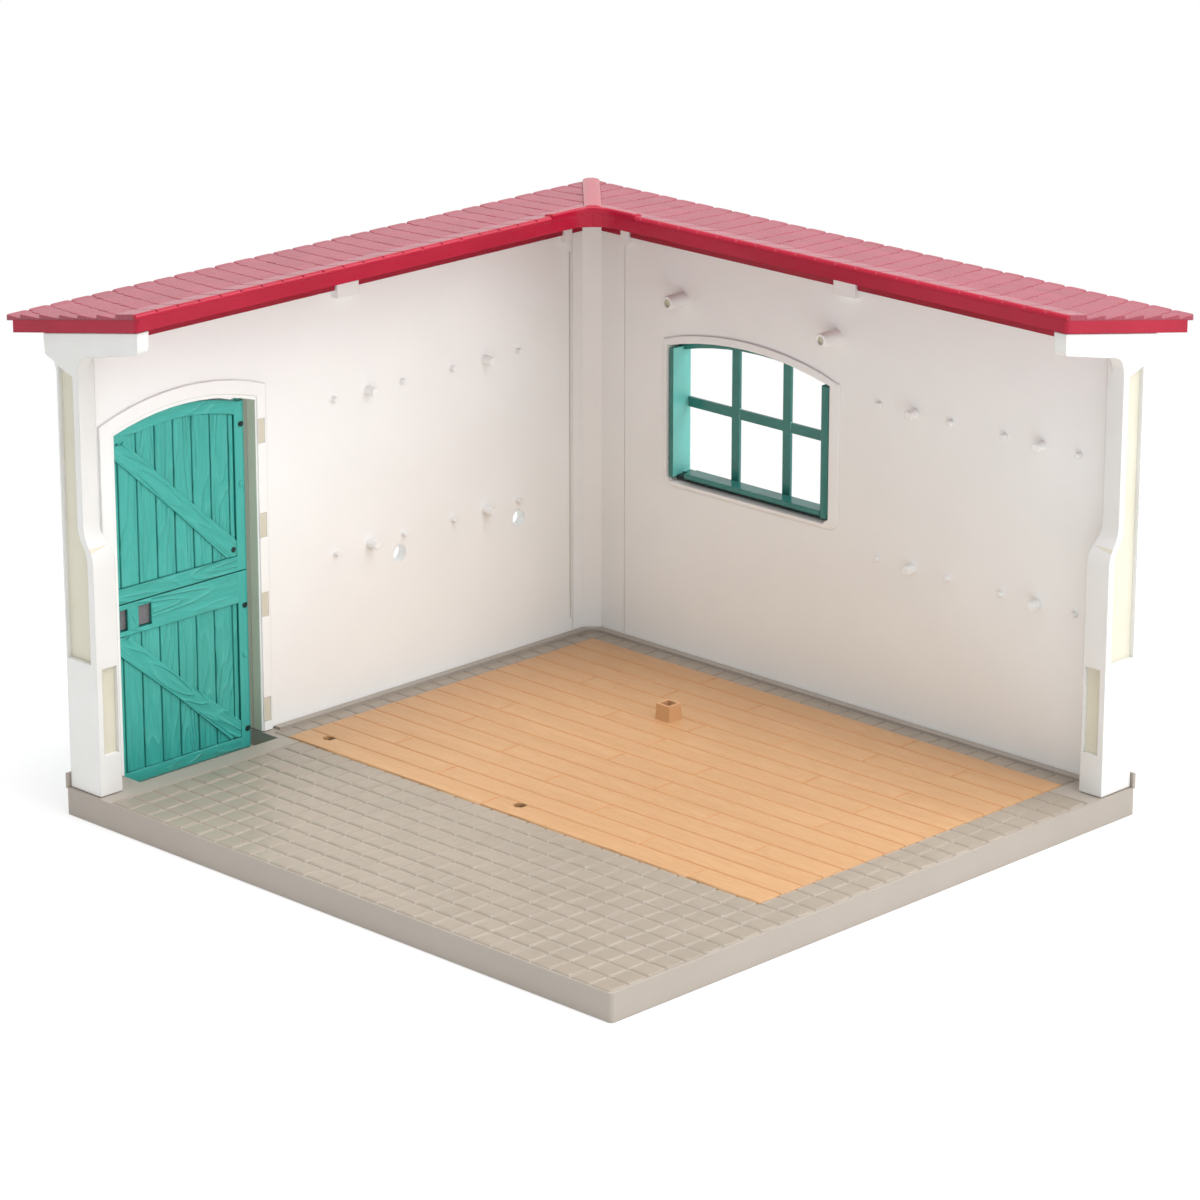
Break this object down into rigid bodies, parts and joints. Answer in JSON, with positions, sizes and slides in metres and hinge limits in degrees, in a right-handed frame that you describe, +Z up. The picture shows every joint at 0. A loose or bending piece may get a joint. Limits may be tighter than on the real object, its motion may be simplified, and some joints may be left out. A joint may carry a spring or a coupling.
{
  "type": "toy clinic building",
  "caption": "Open corner room for toy animals: cobbled base with a planked floor, walls meeting at a post, a split stable door with a sliding bolt, an arched window and a hipped shingle roof.",
  "frame": {"origin": "middle of the whole outline, at the underside of the base", "axes": "+Z up, +X to the right along the open front, +Y back to the window wall; the door wall is on the -X side"},
  "size_m": [0.295, 0.29, 0.1922],
  "materials": {
    "stone": "moulded beige cobbles, fine mottling",
    "wood": "light wood planks with fine grain",
    "wall": "smooth off-white moulded plastic",
    "trim": "smooth white moulded plastic",
    "roof": "raspberry red, satin gloss",
    "door": "teal with moulded wood grain",
    "window": "teal, smooth",
    "latch": "dark grey, fine texture"
  },
  "bodies": {
    "structure": {"base_tray": "stone", "floor_panel": "wood", "door_wall": "wall", "window_wall": "wall", "corner_post": "wall", "door_wall_pillar": "trim", "window_wall_pillar": "trim", "roof_door_wing": "roof", "roof_window_wing": "roof", "hip_cap": "roof", "door_casing": "trim", "window_frame": "window"},
    "upper_leaf": {"upper_door_leaf": "door"},
    "lower_leaf": {"lower_door_leaf": "door"},
    "bolt": {"door_bolt": "latch"}
  },
  "joints": [
    {"name": "upper_leaf_hinge", "type": "hinge", "parent": "structure", "child": "upper_leaf", "pos_m": [-0.122, -0.0614, 0.104], "axis": [0, 0, -1], "range_deg": [0, 105]},
    {"name": "lower_leaf_hinge", "type": "hinge", "parent": "structure", "child": "lower_leaf", "pos_m": [-0.122, -0.0614, 0.038], "axis": [0, 0, -1], "range_deg": [0, 105]},
    {"name": "bolt_slide", "type": "slide", "parent": "lower_leaf", "child": "bolt", "axis": [0, -1, 0], "range_m": [0, 0.004]}
  ]
}
